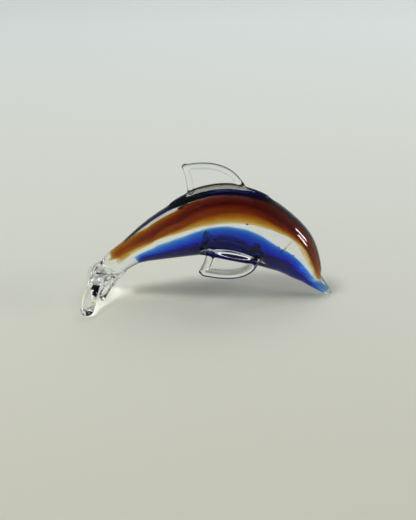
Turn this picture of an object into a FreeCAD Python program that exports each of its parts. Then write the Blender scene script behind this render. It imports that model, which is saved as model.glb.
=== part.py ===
import FreeCAD, Part
import math
import os

from FreeCAD import Matrix, Placement, Rotation, Vector

# A leaping dolphin in solid glass. It rests on the tip of its beak and on both tail flukes.
#
# It is worked hot, from gathers and bits of glass that are fused face to face:
#   clear_core       the first clear gather, in the middle of the body
#   amber_overlay    a crescent of amber glass over the back of the core
#   blue_overlay     a crescent of cobalt glass under the belly of the core
#   amber_thread     a stray thread of amber in the clear core, behind the cheek
#   clear_casing     the clear gather round them all, drawn out into melon and beak
#   tail_bit         a clear knot lapped over the tail end of the body
#   fluke_*          the two tail lobes, drawn out of a clear bit each
#   dorsal_fin       a clear bit laid along the back, with its blade pressed flat
#   pectoral_fin_*   the same, low on each flank
#
# Frame: +X towards the beak, +Y towards the dolphin's own left, +Z up. The origin is on the
# table, under the middle of the overall length. Lengths in millimetres, angles in degrees.

# ------------------------------------------------------------------ body
BODY_LENGTH = 119.4      # along X, from the tail end of the cased body to the centre of the beak tip
ARCH_HEIGHT = 43.8       # from the centre of the beak tip up to the crest of the centreline
GIRTH_HEIGHT = 39.4      # the greatest section, square to the centreline
GIRTH_WIDTH = 34.0       # the same section, across the dolphin
BEAK_TIP_RADIUS = 1.9
GROUND_FLAT = 0.3        # depth that is ground off the beak tip and the fluke tips

# The centreline and the girth between tail end and beak tip, as shares:
# (along BODY_LENGTH, up ARCH_HEIGHT, of GIRTH_HEIGHT)
BODY_SHAPE = (
    (0.000, 0.447, 0.300),
    (0.070, 0.585, 0.392),
    (0.183, 0.752, 0.608),
    (0.316, 0.900, 0.812),
    (0.475, 1.000, 0.980),
    (0.615, 0.935, 0.995),
    (0.725, 0.778, 0.905),
    (0.817, 0.595, 0.745),
    (0.874, 0.412, 0.550),
    (0.909, 0.275, 0.370),
    (0.930, 0.188, 0.245),
    (0.959, 0.112, 0.180),
)
BODY_SECTIONS = 30       # cross-sections that the surface of the body is drawn through
RING_POINTS = 16         # points that each cross-section is drawn through
ROUNDING = (20, 40, 58, 73, 85)  # angles of the sections that close a rounded end

# ------------------------------------------------------------------ layers in the body
# Wall of the casing at the tail end, at the greatest section and at the base of the beak.
CASING_BACK = (2.0, 5.5, 1.3)
CASING_BELLY = (0.9, 3.0, 1.3)
CASING_FLANK = (0.9, 3.2, 1.2)
CORE_NOSE = 0.935        # where the layers end, as a share of BODY_LENGTH
CORE_SECTIONS = 20
AMBER_THICKNESS = 5.0    # at the crown of the crescent, at the greatest section
BLUE_THICKNESS = 5.0     # at the keel of the crescent, at the greatest section
BLUE_START = 0.08        # where the blue begins, as a share of BODY_LENGTH
# How far the two colours reach round the layers: (share of BODY_LENGTH, height of the amber's
# edge, height of the blue's edge), the heights as shares of the layers' half height.
COLOUR_EDGES = (
    (0.00, -0.40, -0.50),
    (0.20, -0.10, -0.25),
    (0.50, 0.08, -0.06),
    (0.75, 0.16, -0.24),
    (0.90, 0.16, -0.46),
    (1.00, 0.10, -0.50),
)
THREAD_RADIUS = 0.3
THREAD_ENDS = (0.770, 0.830)  # shares of BODY_LENGTH
THREAD_OFFSET = 5.0      # from the middle plane, towards the dolphin's right
THREAD_SAG = 1.2         # of its middle below its ends

# ------------------------------------------------------------------ tail
TAIL_LAP = 8.0           # of the tail bit over the body, along X
TAIL_LAP_WALL = (0.4, 1.5)   # of that lap, at its edge and at the body's end
TAIL_NECK = (8.0, 8.2)   # from the body's end to the middle of the fork: backwards, down
TAIL_FORK_HEIGHT = 11.0
TAIL_FORK_WIDTH = 15.0
FLUKE_SPREAD = 24.2      # of the centre of each fluke tip from the middle plane
FLUKE_SWEEP = 7.0        # of a tip behind the fork
FLUKE_BOW = 1.5          # of a lobe's middle above a straight line
FLUKE_SLOPE = 45.0       # of the plane that the two lobes lie in, down towards the back
FLUKE_ROOT_CHORD = 13.5
FLUKE_TIP_CHORD = 8.8
FLUKE_ROOT_THICKNESS = 8.4
FLUKE_TIP_THICKNESS = 7.2

# ------------------------------------------------------------------ fins
BLADE_THICKNESS = 3.0
BLADE_EDGE_RADIUS = 1.0
FOOT_WIDTH = 7.0         # of the fillet of glass that a fin is fused on with
FOOT_HEIGHT = 4.4
FOOT_OVERRUN = 3.5       # of the foot past each end of the fin's chord
FOOT_TAPER = 0.35        # size of the foot at its two ends, as a share of its middle
DORSAL_PLACE = 0.470     # of the middle of the dorsal fin, as a share of BODY_LENGTH
DORSAL_HEIGHT = 15.4
DORSAL_CHORD = 33.5
PECTORAL_PLACE = 0.560
PECTORAL_HEIGHT = 16.0
PECTORAL_CHORD = 33.0
PECTORAL_ANGLE = 36.0    # of the fin's root round the flank, down from the horizontal
PECTORAL_DROOP = 45.0    # of the blade below the horizontal
BLADE_BURIED = 0.50      # depth of a blade's root in the body before it is cut off, share of height

# Free edges of the blades: (along the chord, out from the root), shares of chord and height,
# from the rear of the root to its front.
DORSAL_REAR = ((-0.450, 0.00), (-0.468, 0.50), (-0.500, 0.93))
DORSAL_FRONT = ((-0.455, 1.000), (-0.180, 1.015), (0.080, 0.900), (0.300, 0.620), (0.480, 0.080))
PECTORAL_REAR = ((-0.420, 0.00), (-0.440, 0.48), (-0.508, 0.93))
PECTORAL_FRONT = ((-0.430, 1.055), (-0.160, 1.035), (0.130, 0.910), (0.370, 0.580), (0.480, 0.080))


def blend(values, position):
    """A smooth run through values that are evenly spaced over positions 0 to 1."""
    spans = len(values) - 1
    index = min(int(position * spans), spans - 1)
    local = position * spans - index
    weight = (1 - math.cos(math.pi * local)) / 2
    return values[index] * (1 - weight) + values[index + 1] * weight


def read_table(table, position, column):
    """A straight run between the rows of a table whose first column is the position."""
    for low, high in zip(table, table[1:]):
        if position <= high[0]:
            local = (position - low[0]) / (high[0] - low[0])
            return low[column] + local * (high[column] - low[column])
    return table[-1][column]


def draw_curve(points, closed=False):
    curve = Part.BSplineCurve()
    curve.interpolate(Points=points, PeriodicFlag=closed)
    return curve


def ring(centre, width_axis, height_axis, half_width, half_height):
    """An oval wire. It starts off the middle plane, so that no seam lies in that plane."""
    points = []
    for index in range(RING_POINTS):
        angle = 2 * math.pi * (index + 0.5) / RING_POINTS
        across = width_axis * (half_width * math.sin(angle))
        upwards = height_axis * (half_height * math.cos(angle))
        points.append(centre + across + upwards)
    return Part.Wire(draw_curve(points, closed=True).toShape())


def rounded_end(centre, direction, width_axis, height_axis, half_width, half_height, reach):
    """The shrinking ovals that close a loft, reach beyond its last full oval."""
    rings = []
    for degrees in ROUNDING:
        size = math.cos(math.radians(degrees))
        forward = centre + direction * (reach * math.sin(math.radians(degrees)))
        rings.append(ring(forward, width_axis, height_axis, half_width * size, half_height * size))
    return rings


def loft(rings):
    return Part.makeLoft(rings, True, False)


# ------------------------------------------------------------------ centreline
ACROSS = Vector(0, 1, 0)
HALF_GIRTH = GIRTH_HEIGHT / 2
WIDTH_RATIO = GIRTH_WIDTH / GIRTH_HEIGHT
BEAK_TIP_Z = BEAK_TIP_RADIUS - GROUND_FLAT


def make_profile():
    """The centreline, with the half height of the body carried as its Y."""
    points = []
    for along, upwards, girth in BODY_SHAPE:
        height = BEAK_TIP_Z + upwards * ARCH_HEIGHT
        points.append(Vector(along * BODY_LENGTH, girth * HALF_GIRTH, height))
    points.append(Vector(BODY_LENGTH, BEAK_TIP_RADIUS, BEAK_TIP_Z))
    return draw_curve(points)


PROFILE = make_profile()


class Station:
    """A place on the centreline: its centre, its axes and the half height of the body there."""

    def __init__(self, parameter):
        point = PROFILE.value(parameter)
        slope = PROFILE.tangent(parameter)[0]
        self.centre = Vector(point.x, 0, point.z)
        self.forward = Vector(slope.x, 0, slope.z).normalize()
        self.upward = self.forward.cross(ACROSS)
        self.half_height = point.y
        self.half_width = point.y * WIDTH_RATIO
        self.share = point.x / BODY_LENGTH

    def surface(self, degrees, side=1):
        """A point on the body's skin, degrees round from the top, on the side given."""
        angle = math.radians(degrees)
        out = ACROSS * (side * self.half_width * math.sin(angle))
        return self.centre + out + self.upward * (self.half_height * math.cos(angle))


def parameter_at(share):
    """The centreline's parameter at a share of BODY_LENGTH, found by halving."""
    low = PROFILE.FirstParameter
    high = PROFILE.LastParameter
    for _ in range(40):
        middle = (low + high) / 2
        if PROFILE.value(middle).x < share * BODY_LENGTH:
            low = middle
        else:
            high = middle
    return middle


def station_at(share):
    return Station(parameter_at(share))


def stations_between(first_share, last_share, count):
    """Stations that are evenly spaced along the centreline's own parameter."""
    first = parameter_at(first_share)
    step = (parameter_at(last_share) - first) / (count - 1)
    return [Station(first + step * index) for index in range(count)]


# ------------------------------------------------------------------ body and its layers
GIRTH_SHARE = max(BODY_SHAPE, key=lambda row: row[2])[0]


def make_body():
    """The whole cased body, with nothing taken out of it."""
    rings = []
    for place in stations_between(0, 1, BODY_SECTIONS):
        rings.append(ring(place.centre, ACROSS, place.upward, place.half_width, place.half_height))
    tip = station_at(1)
    rings += rounded_end(tip.centre, tip.forward, ACROSS, tip.upward,
                         tip.half_width, tip.half_height, BEAK_TIP_RADIUS)
    return loft(rings)


class Layer:
    """The oval that the casing leaves for the layers inside it, at one station."""

    def __init__(self, place):
        if place.share < GIRTH_SHARE:
            position = 0.5 * place.share / GIRTH_SHARE
        else:
            position = 0.5 + 0.5 * (place.share - GIRTH_SHARE) / (CORE_NOSE - GIRTH_SHARE)
        position = min(max(position, 0), 1)
        top = place.half_height - blend(CASING_BACK, position)
        bottom = place.half_height - blend(CASING_BELLY, position)
        self.place = place
        self.centre = place.centre + place.upward * ((top - bottom) / 2)
        self.half_height = (top + bottom) / 2
        self.half_width = place.half_width - blend(CASING_FLANK, position)
        self.swell = self.half_height / HALF_GIRTH

    def shifted(self, thickness, edge, side):
        """The oval that cuts a crescent from this one, on the side given (1 is the back).

        The crescent is as thick as asked at its crown, and it thins to nothing where it is
        edge of the way from the middle of the oval to the crown.
        """
        depth = thickness * self.swell / self.half_height
        reach = side * edge
        width = self.half_width * math.sqrt((1 - reach ** 2) / (1 - (reach + depth) ** 2))
        centre = self.centre - self.place.upward * (side * depth * self.half_height)
        return centre, width, self.half_height


LAYERS = [Layer(place) for place in stations_between(0, CORE_NOSE, CORE_SECTIONS)]
TAIL_MARGIN = 1.0        # that a cutting solid runs past the tail end of the layers
NOSE_MARGIN = 6.0        # and past their nose
NOSE_FLARE = 1.3         # growth of a cutting solid over that margin


def make_envelope():
    """Everything inside the casing: it is bare at the tail end, and round at the nose."""
    rings = []
    for layer in LAYERS:
        rings.append(ring(layer.centre, ACROSS, layer.place.upward, layer.half_width, layer.half_height))
    nose = LAYERS[-1]
    rings += rounded_end(nose.centre, nose.place.forward, ACROSS, nose.place.upward,
                         nose.half_width, nose.half_height, nose.half_width)
    return loft(rings)


def make_crescent_cutter(thickness, column, side):
    """What a crescent of colour leaves of the layers, run past both ends."""
    ovals = []
    for layer in LAYERS:
        edge = read_table(COLOUR_EDGES, layer.place.share, column)
        ovals.append(layer.shifted(thickness, edge, side))
    rings = []
    for layer, (centre, half_width, half_height) in zip(LAYERS, ovals):
        rings.append(ring(centre, ACROSS, layer.place.upward, half_width, half_height))
    centre, half_width, half_height = ovals[0]
    tail = LAYERS[0].place
    rings.insert(0, ring(centre - tail.forward * TAIL_MARGIN, ACROSS, tail.upward, half_width, half_height))
    centre, half_width, half_height = ovals[-1]
    nose = LAYERS[-1].place
    rings.append(ring(centre + nose.forward * NOSE_MARGIN, ACROSS, nose.upward,
                      half_width * NOSE_FLARE, half_height * NOSE_FLARE))
    return loft(rings)


def half_space_ahead(place):
    """A block that holds all of the body ahead of a station."""
    size = 2 * BODY_LENGTH
    block = Part.makeBox(size, size, size, Vector(-size / 2, -size / 2, 0))
    block.Placement = Placement(place.centre, Rotation(Vector(0, 0, 1), place.forward))
    return block


def make_thread():
    """A short bowed thread, round in section."""
    ends = [station_at(share) for share in THREAD_ENDS]
    middle = station_at(sum(THREAD_ENDS) / 2)
    aside = ACROSS * -THREAD_OFFSET
    points = [ends[0].centre + aside, middle.centre + aside - Vector(0, 0, THREAD_SAG), ends[1].centre + aside]
    path = Part.Wire(draw_curve(points).toShape())
    start = path.Edges[0].tangentAt(path.Edges[0].FirstParameter)
    section = Part.Wire(Part.makeCircle(THREAD_RADIUS, points[0], start))
    return path.makePipeShell([section], True, False)


# ------------------------------------------------------------------ tail
class Tail:
    """Where the tail bit and the lobes lie, from the body's tail end."""

    end = station_at(0)
    fork = end.centre - Vector(TAIL_NECK[0], 0, TAIL_NECK[1])
    backward = (fork - end.centre).normalize()


def make_tail_lump():
    """The tail bit with the body's tail end still in it."""
    rings = []
    places = stations_between(TAIL_LAP / BODY_LENGTH, 0, 5)
    for index, place in enumerate(places):
        wall = blend(TAIL_LAP_WALL, index / (len(places) - 1))
        rings.append(ring(place.centre, ACROSS, place.upward,
                          place.half_width + wall, place.half_height + wall))
    upward = Tail.backward.cross(ACROSS)
    rings.append(ring(Tail.fork, ACROSS, upward, TAIL_FORK_WIDTH / 2, TAIL_FORK_HEIGHT / 2))
    rings += rounded_end(Tail.fork, Tail.backward, ACROSS, upward,
                         TAIL_FORK_WIDTH / 2, TAIL_FORK_HEIGHT / 2, TAIL_FORK_HEIGHT / 2)
    return loft(rings)


def make_lobe(side):
    """One tail lobe, from inside the fork out to its rounded tip."""
    slope = math.radians(FLUKE_SLOPE)
    plate_normal = Vector(-math.sin(slope), 0, math.cos(slope))
    chord_down = FLUKE_TIP_CHORD / 2 * math.sin(slope)
    thickness_down = FLUKE_TIP_THICKNESS / 2 * math.cos(slope)
    tip_height = math.hypot(chord_down, thickness_down) - GROUND_FLAT
    root = Tail.fork
    tip = Vector(root.x - FLUKE_SWEEP, side * FLUKE_SPREAD, tip_height)
    middle = (root + tip) * 0.5 + plate_normal * FLUKE_BOW
    path = draw_curve([root, middle, tip])
    rings = []
    steps = 7
    for index in range(steps):
        share = index / (steps - 1)
        parameter = path.FirstParameter + share * (path.LastParameter - path.FirstParameter)
        forward = path.tangent(parameter)[0]
        chord_axis = forward.cross(plate_normal).normalize()
        height_axis = chord_axis.cross(forward).normalize()
        chord = blend((FLUKE_ROOT_CHORD, FLUKE_TIP_CHORD), share)
        thickness = blend((FLUKE_ROOT_THICKNESS, FLUKE_TIP_THICKNESS), share)
        rings.append(ring(path.value(parameter), chord_axis, height_axis, chord / 2, thickness / 2))
    rings += rounded_end(tip, forward, chord_axis, height_axis, chord / 2, thickness / 2, thickness / 2)
    return loft(rings)


# ------------------------------------------------------------------ fins
def make_foot(points, outward):
    """The fillet of glass along a fin's root, from one end of it to the other."""
    path = draw_curve(points)
    rings = []
    steps = 9
    for index in range(steps):
        share = index / (steps - 1)
        parameter = path.FirstParameter + share * (path.LastParameter - path.FirstParameter)
        forward = path.tangent(parameter)[0]
        width_axis = forward.cross(outward).normalize()
        height_axis = width_axis.cross(forward).normalize()
        size = FOOT_TAPER + (1 - FOOT_TAPER) * math.sin(math.pi * share)
        rings.append(ring(path.value(parameter), width_axis, height_axis,
                          size * FOOT_WIDTH / 2, size * FOOT_HEIGHT / 2))
    return loft(rings)


def make_blade(rear, front, chord, height):
    """A pressed blade: the chord along X and the height along Y, its middle plane at Z = 0."""
    buried = -BLADE_BURIED * height

    def place(points):
        return [Vector(along * chord, out * height, 0) for along, out in points]

    rear_points = place(rear)
    front_points = place(front)
    rear_foot = Vector(rear_points[0].x, buried, 0)
    front_foot = Vector(front_points[-1].x, buried, 0)
    edges = [
        Part.makeLine(front_foot, rear_foot),
        Part.makeLine(rear_foot, rear_points[0]),
        draw_curve(rear_points).toShape(),
        Part.makeLine(rear_points[-1], front_points[0]),
        draw_curve(front_points).toShape(),
        Part.makeLine(front_points[-1], front_foot),
    ]
    outline = Part.Face(Part.Wire(edges))
    outline.translate(Vector(0, 0, -BLADE_THICKNESS / 2))
    blade = outline.extrude(Vector(0, 0, BLADE_THICKNESS))
    rims = []
    for edge in blade.Edges:
        flat = edge.BoundBox.ZLength < BLADE_THICKNESS / 2
        if flat and edge.BoundBox.YMax > buried + BLADE_THICKNESS:
            rims.append(edge)
    return blade.makeFillet(BLADE_EDGE_RADIUS, rims)


def stand_on(blade, origin, along, outward):
    """A blade with its chord set along one direction and its height along another."""
    normal = along.cross(outward).normalize()
    outward = normal.cross(along).normalize()
    matrix = Matrix(along.x, outward.x, normal.x, origin.x,
                    along.y, outward.y, normal.y, origin.y,
                    along.z, outward.z, normal.z, origin.z,
                    0, 0, 0, 1)
    blade.Placement = Placement(matrix)
    return blade


def make_fin(rear, front, place, chord, height, degrees, side, outward):
    """A fin and its foot, with the root still running into the body."""
    reach = (chord / 2 + FOOT_OVERRUN) / BODY_LENGTH
    shares = [place + reach * step for step in (-1, -0.5, 0, 0.5, 1)]
    skin = [station_at(share).surface(degrees, side) for share in shares]
    along = (skin[-1] - skin[0]).normalize()
    blade = stand_on(make_blade(rear, front, chord, height), skin[2], along, outward)
    foot = make_foot(skin, outward)
    return blade.fuse(foot)


def make_dorsal_fin():
    return make_fin(DORSAL_REAR, DORSAL_FRONT, DORSAL_PLACE, DORSAL_CHORD, DORSAL_HEIGHT,
                    0, 1, Vector(0, 0, 1))


def make_pectoral_fin(side):
    droop = math.radians(PECTORAL_DROOP)
    outward = Vector(0, side * math.cos(droop), -math.sin(droop))
    return make_fin(PECTORAL_REAR, PECTORAL_FRONT, PECTORAL_PLACE, PECTORAL_CHORD, PECTORAL_HEIGHT,
                    90 + PECTORAL_ANGLE, side, outward)


# ------------------------------------------------------------------ the whole figure
def own_side(side):
    """A block that holds everything on one side of the middle plane."""
    size = 2 * BODY_LENGTH
    corner = Vector(-size / 2, 0 if side > 0 else -size, -size / 2)
    return Part.makeBox(size, size, size, corner)


def above_table():
    size = 2 * BODY_LENGTH
    return Part.makeBox(2 * size, size, size, Vector(-size, -size / 2, 0))


def make_nodes():
    body = make_body()
    envelope = make_envelope()
    past_nose = half_space_ahead(station_at(CORE_NOSE))
    amber = envelope.cut(make_crescent_cutter(AMBER_THICKNESS, 1, 1)).cut(past_nose)
    blue = envelope.cut(make_crescent_cutter(BLUE_THICKNESS, 2, -1)).cut(past_nose)
    blue = blue.common(half_space_ahead(station_at(BLUE_START)))
    thread = make_thread()
    lump = make_tail_lump()
    nodes = {
        "clear_casing": body.cut(envelope).common(above_table()),
        "clear_core": envelope.cut(amber).cut(blue).cut(thread),
        "amber_overlay": amber,
        "blue_overlay": blue,
        "amber_thread": thread,
        "tail_bit": lump.cut(body),
        "dorsal_fin": make_dorsal_fin().cut(body),
    }
    for name, side in (("left", 1), ("right", -1)):
        nodes["pectoral_fin_" + name] = make_pectoral_fin(side).cut(body)
        lobe = make_lobe(side).cut(lump).cut(body).common(own_side(side))
        nodes["fluke_" + name] = lobe.common(above_table())
    return nodes


def set_down(nodes):
    """Moves the figure along X until the origin is under the middle of its length."""
    whole = Part.makeCompound(list(nodes.values())).optimalBoundingBox(False)
    middle = Vector(-(whole.XMin + whole.XMax) / 2, 0, 0)
    for shape in nodes.values():
        shape.translate(middle)
    print("size", round(whole.XLength, 2), round(whole.YLength, 2), round(whole.ZLength, 2))


NODES = make_nodes()
set_down(NODES)
os.makedirs("parts", exist_ok=True)
for node, shape in NODES.items():
    solids = len(shape.Solids)
    print(node, "solids", solids, "valid", shape.isValid(), "volume", round(shape.Volume, 1))
    shape.exportStep("parts/" + node + ".step")
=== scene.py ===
import math
from collections import namedtuple

import bmesh
import bpy
import numpy as np
import openvdb
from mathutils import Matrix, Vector


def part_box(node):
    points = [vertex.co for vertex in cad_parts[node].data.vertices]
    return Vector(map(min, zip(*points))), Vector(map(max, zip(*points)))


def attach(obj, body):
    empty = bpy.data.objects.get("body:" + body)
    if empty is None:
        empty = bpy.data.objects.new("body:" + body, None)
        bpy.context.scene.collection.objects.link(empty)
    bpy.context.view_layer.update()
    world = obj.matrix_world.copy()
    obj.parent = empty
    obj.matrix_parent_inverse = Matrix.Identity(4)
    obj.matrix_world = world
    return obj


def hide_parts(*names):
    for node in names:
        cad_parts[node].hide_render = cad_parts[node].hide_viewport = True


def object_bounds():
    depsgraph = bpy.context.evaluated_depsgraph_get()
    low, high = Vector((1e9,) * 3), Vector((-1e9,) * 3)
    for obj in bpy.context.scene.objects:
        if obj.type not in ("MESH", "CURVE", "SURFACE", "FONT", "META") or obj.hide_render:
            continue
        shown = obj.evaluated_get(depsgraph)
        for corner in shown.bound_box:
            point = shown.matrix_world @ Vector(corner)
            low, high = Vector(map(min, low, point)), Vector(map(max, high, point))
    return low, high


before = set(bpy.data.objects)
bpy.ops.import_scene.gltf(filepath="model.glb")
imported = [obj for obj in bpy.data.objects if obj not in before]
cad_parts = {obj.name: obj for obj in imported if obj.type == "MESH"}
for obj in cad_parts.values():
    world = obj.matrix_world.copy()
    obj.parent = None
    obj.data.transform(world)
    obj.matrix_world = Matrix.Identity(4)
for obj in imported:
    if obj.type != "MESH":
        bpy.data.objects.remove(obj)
cad_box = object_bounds()

MM = 0.001
TINY = 1e-6              # the least that anything is divided by


# ================================================================== shape of the body
# The same driving values as the CAD model's: (along the length, up the arch, of the girth).
BODY_SHAPE = np.array((
    (0.000, 0.447, 0.300), (0.070, 0.585, 0.392), (0.183, 0.752, 0.608), (0.316, 0.900, 0.812),
    (0.475, 1.000, 0.980), (0.615, 0.935, 0.995), (0.725, 0.778, 0.905), (0.817, 0.595, 0.745),
    (0.874, 0.412, 0.550), (0.909, 0.275, 0.370), (0.930, 0.188, 0.245), (0.959, 0.112, 0.180),
))
BODY_LENGTH = 119.4
ARCH_HEIGHT = 43.8
GIRTH_HEIGHT = 39.4
GIRTH_WIDTH = 34.0
BEAK_TIP_RADIUS = 1.9
GROUND_FLAT = 0.3        # cut off the beak's tip and the flukes' tips
BEAK_TIP_Z = BEAK_TIP_RADIUS - GROUND_FLAT
WIDTH_RATIO = GIRTH_WIDTH / GIRTH_HEIGHT
TAIL_END_ROUNDING = 4.0

SPINE_SAMPLES = 600
SEARCH_STEP = 4          # samples from one to the next, in the first search for the nearest
SEARCH_ROUNDS = 3        # of sliding along the spine from there


def natural_spline(knots, values, where):
    """A smooth curve through values at knots, read at where."""
    count = len(knots)
    step = np.diff(knots)[:, None]
    rise = np.diff(values, axis=0) / step
    matrix = np.eye(count)
    right = np.zeros_like(values)
    for i in range(1, count - 1):
        matrix[i, i - 1:i + 2] = (step[i - 1, 0], 2 * (step[i - 1, 0] + step[i, 0]), step[i, 0])
        right[i] = 6 * (rise[i] - rise[i - 1])
    bend = np.linalg.solve(matrix, right)
    i = np.clip(np.searchsorted(knots, where, side="right") - 1, 0, count - 2)
    span = (knots[i + 1] - knots[i])[:, None]
    ahead = (knots[i + 1] - where)[:, None]
    behind = (where - knots[i])[:, None]
    cubic = (bend[i] * ahead ** 3 + bend[i + 1] * behind ** 3) / (6 * span)
    start = (values[i] / span - bend[i] * span / 6) * ahead
    end = (values[i + 1] / span - bend[i + 1] * span / 6) * behind
    return cubic + start + end


def curve_through(points, count):
    """A smooth curve through a few points, as count points evenly along it."""
    points = np.array(points, float)
    knots = np.concatenate(([0], np.cumsum(np.linalg.norm(np.diff(points, axis=0), axis=1))))
    return natural_spline(knots, points, np.linspace(0, knots[-1], count))


def unit(vectors):
    """Rows of vectors, each made one long."""
    return vectors / np.linalg.norm(vectors, axis=1)[:, None]


class Spine:
    """The centreline in the middle plane, sampled finely from tail end to beak tip."""

    def __init__(self):
        along, up, girth = BODY_SHAPE.T
        height = BEAK_TIP_Z + up * ARCH_HEIGHT
        points = np.column_stack((along * BODY_LENGTH, girth * GIRTH_HEIGHT / 2, height))
        points = np.vstack((points, (BODY_LENGTH, BEAK_TIP_RADIUS, BEAK_TIP_Z)))
        fine = curve_through(points, SPINE_SAMPLES)
        self.radius = fine[:, 1]
        self.z = fine[:, 2]
        self.forward = unit(np.gradient(fine[:, (0, 2)], axis=0))
        beak_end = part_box("clear_casing")[1].x / MM
        tip_reach = fine[-1, 0] + BEAK_TIP_RADIUS * max(1.0, self.forward[-1, 0])
        self.x = fine[:, 0] + beak_end - tip_reach
        self.arc = np.concatenate(([0], np.cumsum(np.hypot(np.diff(self.x), np.diff(self.z)))))
        self.length = self.arc[-1]

    def locate(self, x, z):
        """For points in the middle plane: arc length along the spine and height off it."""
        flat = np.column_stack((x.ravel(), z.ravel()))
        best = np.full(len(flat), np.inf)
        index = np.zeros(len(flat), int)
        for i in range(0, len(self.x), SEARCH_STEP):
            gap = (flat[:, 0] - self.x[i]) ** 2 + (flat[:, 1] - self.z[i]) ** 2
            closer = gap < best
            best[closer] = gap[closer]
            index[closer] = i
        away = flat - np.column_stack((self.x[index], self.z[index]))
        ahead = np.einsum("ij,ij->i", away, self.forward[index])
        arc = self.arc[index] + ahead
        for _ in range(SEARCH_ROUNDS):
            px, pz, fx, fz, _ = self.at(arc)
            arc = arc + (flat[:, 0] - px) * fx + (flat[:, 1] - pz) * fz
        px, pz, fx, fz, _ = self.at(arc)
        height = (flat[:, 1] - pz) * fx - (flat[:, 0] - px) * fz
        return arc.reshape(x.shape), height.reshape(x.shape)

    def at(self, arc):
        """Centre, direction and half height at an arc length; straight on past both ends."""
        inside = np.clip(arc, 0, self.length)
        over = arc - inside
        fx = np.interp(inside, self.arc, self.forward[:, 0])
        fz = np.interp(inside, self.arc, self.forward[:, 1])
        x = np.interp(inside, self.arc, self.x) + over * fx
        z = np.interp(inside, self.arc, self.z) + over * fz
        return x, z, fx, fz, np.interp(inside, self.arc, self.radius)

    def point(self, arc, degrees, reach=1.0):
        """A point at an arc length, degrees round from the back, the left side positive.

        Its distance from the spine is the section's own, times reach.
        """
        radius = self.at(arc)[4]
        turn = np.radians(degrees)
        up = reach * radius * np.cos(turn)
        return self.off(arc, up, reach * radius * WIDTH_RATIO * np.sin(turn))

    def off(self, arc, up, out):
        """A point of the section at an arc length, up from the spine and out to the left."""
        x, z, fx, fz, _ = self.at(arc)
        return np.stack(np.broadcast_arrays(x - fz * up, out, z + fx * up), axis=-1)

    def arc_at(self, share):
        """The arc length at a share of the body's level length."""
        return float(np.interp(share * BODY_LENGTH + self.x[0], self.x, self.arc))


spine = Spine()


# ================================================================== distance fields
GRID = 0.42              # spacing of the field that the skin is drawn from
GRID_MARGIN = 2.0
MELT = 2.6               # reach of the melted fillet where one bit of glass meets another
FAR_AWAY = 50.0          # stands for any distance that isn't worked out
MIDDLE = 0.05            # of an oval, where its own formula gives no distance


def smooth_union(a, b, reach):
    mix = np.clip(0.5 + 0.5 * (b - a) / reach, 0, 1)
    return b + (a - b) * mix - reach * mix * (1 - mix)


def oval_distance(size, steepness):
    """Distance to an oval, near it, from a size that is 1 on it and that size's steepness."""
    return size * (size - 1) / np.maximum(steepness, TINY)


class Field:
    """A block of distances round the whole figure, negative inside the glass."""

    def __init__(self):
        low, high = (np.array(corner) / MM for corner in cad_box)
        self.low = low - GRID_MARGIN
        self.low[2] = -GRID_MARGIN
        counts = np.ceil((high + GRID_MARGIN - self.low) / GRID).astype(int) + 1
        self.axes = [(self.low[i] + GRID * np.arange(counts[i])).astype(np.float32) for i in range(3)]
        self.values = np.full(counts, FAR_AWAY, np.float32)

    def block(self, low, high):
        """The slice of the grid between two corners, and its coordinates."""
        cut = []
        for axis, start, stop in zip(self.axes, low, high):
            first, last = np.searchsorted(axis, (start, stop))
            cut.append(slice(max(first - 1, 0), last + 1))
        cut = tuple(cut)
        x, y, z = (axis[part] for axis, part in zip(self.axes, cut))
        return cut, x[:, None, None], y[None, :, None], z[None, None, :]

    def melt_in(self, cut, distance, reach):
        self.values[cut] = smooth_union(self.values[cut], distance, reach)

    def melt_along(self, path, half_widths, half_heights, plate_normal, margin, reach):
        """Melts in ovals along a path."""
        cut, x, y, z = self.block(path.min(0) - margin, path.max(0) + margin)
        self.melt_in(cut, swept_distance(x, y, z, path, half_widths, half_heights, plate_normal), reach)


def fill_body(field):
    """Distance to the body's skin: ovals along the spine, rounded off at both ends."""
    x, y, z = field.axes
    arc, height = spine.locate(*np.meshgrid(x, z, indexing="ij"))
    radius = spine.at(arc)[4]
    over = np.where(arc > spine.length, (arc - spine.length) / BEAK_TIP_RADIUS, 0)
    over = np.where(arc < 0, arc / TAIL_END_ROUNDING, over)
    width = radius * WIDTH_RATIO
    for i, away in enumerate(y):
        size = np.sqrt((height / radius) ** 2 + (away / width) ** 2 + over ** 2)
        steepness = (height / radius ** 2) ** 2 + (away / width ** 2) ** 2 + (over / radius) ** 2
        distance = oval_distance(size, np.sqrt(steepness))
        turn = np.degrees(np.arctan2(away / WIDTH_RATIO, height))
        for fin in fins.values():
            distance = distance - fin.saddle_rise(arc, turn, radius)
        field.values[:, i, :] = np.where(size > MIDDLE, distance, -radius)


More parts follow.
